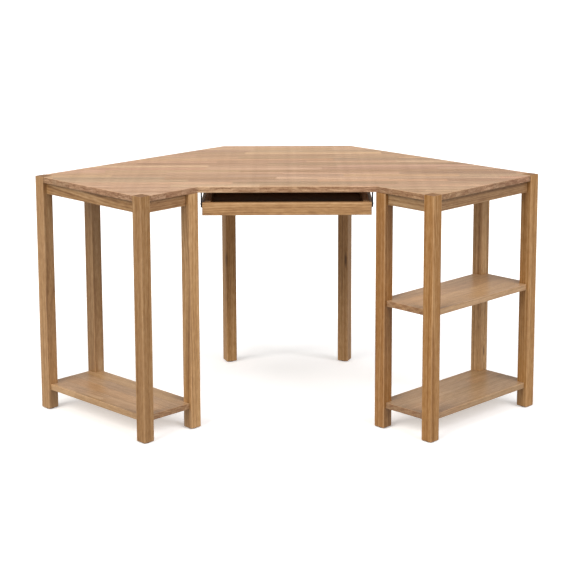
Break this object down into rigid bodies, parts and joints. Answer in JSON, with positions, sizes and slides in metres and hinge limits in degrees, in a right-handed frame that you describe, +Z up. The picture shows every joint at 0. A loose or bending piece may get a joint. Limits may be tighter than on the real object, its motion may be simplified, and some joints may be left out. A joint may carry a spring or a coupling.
{
  "type": "corner desk",
  "caption": "Solid oak corner desk with a cut-corner worktop, two shelved leg frames, rear legs and a keyboard drawer that slides out on ball slides.",
  "frame": {"origin": "on the floor, below the middle of the desk's bounding box", "axes": "+X to the sitter's right, +Y from the sitter towards the room corner, +Z up; X = 0 is the plane through the room corner"},
  "size_m": [1.5642, 0.9186, 0.75],
  "materials": {
    "oak_worktop": "oiled finger-jointed oak staves",
    "oak_legs": "oiled oak",
    "oak_aprons": "oiled oak",
    "oak_shelves": "oiled finger-jointed oak staves",
    "oak_drawer": "oiled oak",
    "beech_dowels": "plain beech",
    "dark_panel": "dark brown lacquered board",
    "black_steel": "satin black powder coat",
    "slide_steel": "zinc-plated rolled steel",
    "bearing_steel": "polished ball steel",
    "brass_cage": "thin pressed brass",
    "screw_steel": "zinc-plated",
    "black_plastic": "dark moulded plastic"
  },
  "bodies": {
    "desk": {"table_top": "oak_worktop", "left_end_rear_leg": "oak_legs", "left_end_front_leg": "oak_legs", "left_inner_front_leg": "oak_legs", "left_inner_rear_leg": "oak_legs", "right_end_rear_leg": "oak_legs", "right_end_front_leg": "oak_legs", "right_inner_front_leg": "oak_legs", "right_inner_rear_leg": "oak_legs", "left_corner_leg": "oak_legs", "right_corner_leg": "oak_legs", "left_end_apron": "oak_aprons", "left_front_apron": "oak_aprons", "left_inner_apron": "oak_aprons", "left_wall_apron": "oak_aprons", "right_end_apron": "oak_aprons", "right_front_apron": "oak_aprons", "right_inner_apron": "oak_aprons", "right_wall_apron": "oak_aprons", "left_rear_rail": "oak_aprons", "right_rear_rail": "oak_aprons", "center_rear_rail": "oak_aprons", "left_bottom_shelf": "oak_shelves", "right_bottom_shelf": "oak_shelves", "right_middle_shelf": "oak_shelves", "left_frame_dowels": "beech_dowels", "right_frame_dowels": "beech_dowels", "rear_rail_dowels": "beech_dowels", "shelf_dowels": "beech_dowels", "rear_rail_screws": "screw_steel", "top_plates": "black_steel", "top_plate_screws": "screw_steel", "leg_glides": "black_plastic", "left_hanger": "black_steel", "right_hanger": "black_steel", "hanger_screws": "screw_steel", "hanger_rivets": "screw_steel", "left_slide_channel": "slide_steel", "right_slide_channel": "slide_steel"},
    "drawer": {"drawer_front": "oak_drawer", "drawer_left_side": "oak_drawer", "drawer_right_side": "oak_drawer", "drawer_back": "oak_drawer", "drawer_bottom": "dark_panel", "drawer_dowels": "beech_dowels", "left_slide_runner": "slide_steel", "right_slide_runner": "slide_steel", "runner_screws": "screw_steel"},
    "left_cage": {"left_ball_cage": "brass_cage", "left_slide_balls": "bearing_steel"},
    "right_cage": {"right_ball_cage": "brass_cage", "right_slide_balls": "bearing_steel"}
  },
  "joints": [
    {"name": "drawer_slide", "type": "slide", "parent": "desk", "child": "drawer", "axis": [0, -1, 0], "range_m": [0, 0.2]},
    {"name": "left_cage_slide", "type": "slide", "parent": "desk", "child": "left_cage", "axis": [0, -1, 0], "range_m": [0, 0.1]},
    {"name": "right_cage_slide", "type": "slide", "parent": "desk", "child": "right_cage", "axis": [0, -1, 0], "range_m": [0, 0.1]}
  ],
  "couplings": [
    {"joint": "left_cage_slide", "follows": "drawer_slide", "ratio": 0.5},
    {"joint": "right_cage_slide", "follows": "drawer_slide", "ratio": 0.5}
  ]
}
